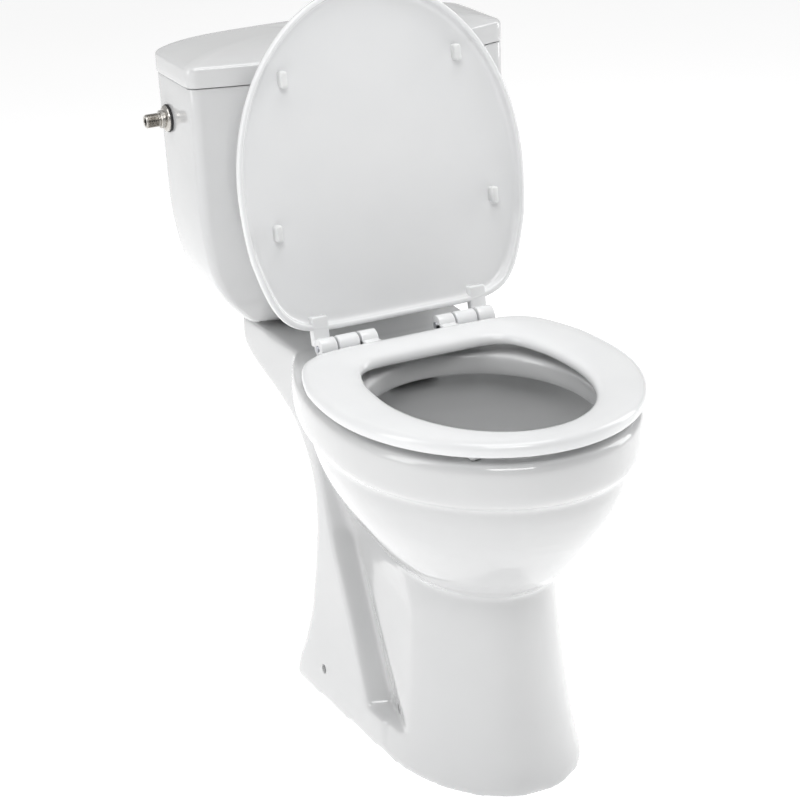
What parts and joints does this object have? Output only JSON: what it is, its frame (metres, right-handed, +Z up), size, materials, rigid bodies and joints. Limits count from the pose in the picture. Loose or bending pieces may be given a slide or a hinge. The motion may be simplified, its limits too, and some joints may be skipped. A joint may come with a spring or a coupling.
{
  "type": "close coupled toilet",
  "caption": "Raised-height close coupled toilet: pan with horizontal outlet, cistern with side inlet and push button, soft-close seat ring and lid standing open.",
  "frame": {"origin": "on the floor, on the plane of symmetry of the pan and seat, directly under the line of the two seat fixing holes", "axes": "+Z up, -Y towards the user in front of the toilet, +Y towards the wall, +X to the right as the toilet is seen from the front"},
  "size_m": [0.442, 0.6604, 0.8881],
  "materials": {
    "sanitaryware": "white vitreous china, glossy glaze",
    "seat_plastic": "white moulded thermoset, polished",
    "hinge_plastic": "white moulded plastic",
    "buffer_rubber": "soft white rubber",
    "black_rubber": "black rubber",
    "nickel": "nickel plated brass",
    "chrome": "polished chrome",
    "valve_plastic": "natural white plastic",
    "nut_plastic": "moulded nylon",
    "steel": "zinc plated steel",
    "float_foam": "blue foamed plastic"
  },
  "bodies": {
    "base": {"pan": "sanitaryware", "cistern_tank": "sanitaryware", "cistern_lid": "sanitaryware", "inlet_tail": "nickel", "inlet_washer": "black_rubber", "inlet_flange_nut": "nickel", "inlet_inner_washer": "black_rubber", "float_valve_body": "valve_plastic", "float_pin": "steel", "valve_base_washer": "black_rubber", "flush_valve_base": "valve_plastic", "flush_back_nut": "nut_plastic", "doughnut_gasket": "black_rubber", "flush_cage": "valve_plastic", "actuator_head": "valve_plastic", "coupling_bolts": "steel", "coupling_washers": "black_rubber", "cistern_pads": "black_rubber", "coupling_wing_nuts": "nut_plastic", "button_bezel": "chrome", "button_nut": "nut_plastic", "hinge_post_left": "hinge_plastic", "hinge_post_right": "hinge_plastic", "hinge_pin_left": "steel", "hinge_pin_right": "steel", "hinge_studs": "steel", "hinge_washers": "black_rubber", "hinge_wing_nuts": "nut_plastic"},
    "ring": {"seat_ring": "seat_plastic", "ring_buffers": "buffer_rubber"},
    "lid": {"seat_lid": "seat_plastic", "lid_buffers": "buffer_rubber"},
    "full_flush": {"full_flush_button": "chrome"},
    "half_flush": {"half_flush_button": "chrome"},
    "float": {"float_arm": "valve_plastic", "float_cup": "float_foam"},
    "flush_lift": {"lift_tube": "valve_plastic", "flush_seal": "black_rubber"}
  },
  "joints": [
    {"name": "ring_hinge", "type": "hinge", "parent": "base", "child": "ring", "pos_m": [0, -0.016, 0.477], "axis": [-1, 0, 0], "range_deg": [0, 93]},
    {"name": "lid_hinge", "type": "hinge", "parent": "base", "child": "lid", "pos_m": [0, -0.016, 0.477], "axis": [-1, 0, 0], "range_deg": [-98.5, 0]},
    {"name": "full_button_press", "type": "slide", "parent": "base", "child": "full_flush", "axis": [0, 0, 1], "range_m": [-0.006, 0], "stiffness_N_per_m": 250, "springref_m": 0.006},
    {"name": "half_button_press", "type": "slide", "parent": "base", "child": "half_flush", "axis": [0, 0, 1], "range_m": [-0.006, 0], "stiffness_N_per_m": 250, "springref_m": 0.006},
    {"name": "float_swing", "type": "hinge", "parent": "base", "child": "float", "pos_m": [-0.146, 0.19, 0.75], "axis": [0, -1, 0], "range_deg": [0, 25]},
    {"name": "flush_lift_slide", "type": "slide", "parent": "base", "child": "flush_lift", "axis": [0, 0, 1], "range_m": [0, 0.012]}
  ],
  "couplings": [
    {"joint": "flush_lift_slide", "follows": "full_button_press", "ratio": -2}
  ]
}
